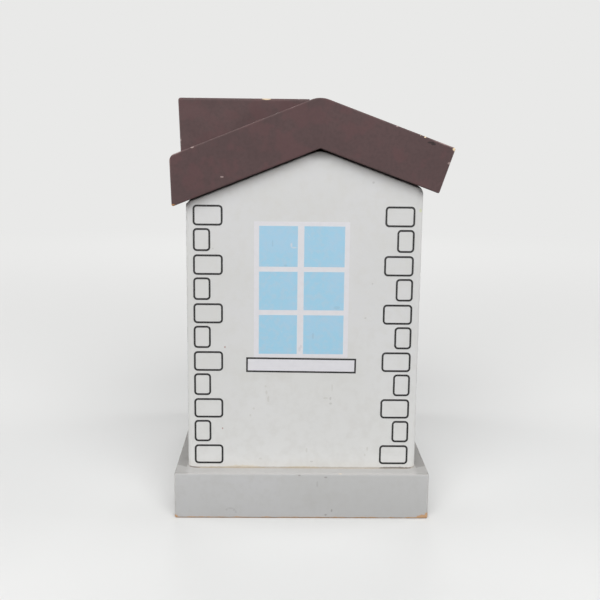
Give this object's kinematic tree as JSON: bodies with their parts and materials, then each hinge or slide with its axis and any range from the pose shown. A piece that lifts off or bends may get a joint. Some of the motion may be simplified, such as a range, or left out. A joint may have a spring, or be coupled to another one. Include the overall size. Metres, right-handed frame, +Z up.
{
  "type": "house-shaped money box",
  "caption": "House-shaped wooden money box: printed gable walls, a mitred pitched roof, a coin slot in a flat-topped dormer and a rubber stopper in the base slab.",
  "frame": {"origin": "on the floor, under the middle of the base slab", "axes": "+X to the right along the printed front gable, +Y from that gable towards the rear gable, +Z up"},
  "size_m": [0.0939, 0.1226, 0.1432],
  "materials": {
    "wall_paint": "white satin paint with printed black and light blue ink",
    "roof_paint": "dull brown paint, chipped at the corners",
    "base_paint": "light grey satin paint, rubbed at the lower edges",
    "bare_wood": "sawn bare wood",
    "zinc_steel": "zinc plated",
    "stopper_rubber": "moulded black rubber"
  },
  "bodies": {
    "house": {"base_slab": "base_paint", "front_gable_wall": "wall_paint", "rear_gable_wall": "wall_paint", "left_side_wall": "wall_paint", "right_side_wall": "wall_paint", "left_roof_board": "roof_paint", "right_roof_board": "roof_paint", "dormer_block": "roof_paint", "corner_block_front_left": "bare_wood", "corner_block_front_right": "bare_wood", "corner_block_rear_left": "bare_wood", "corner_block_rear_right": "bare_wood", "base_screws": "zinc_steel", "roof_pins": "zinc_steel", "wall_pins": "zinc_steel"},
    "stopper": {"outlet_stopper": "stopper_rubber"}
  },
  "joints": [
    {"name": "stopper_pull", "type": "slide", "parent": "house", "child": "stopper", "axis": [0, 0, -1], "range_m": [0, 0.04]}
  ]
}
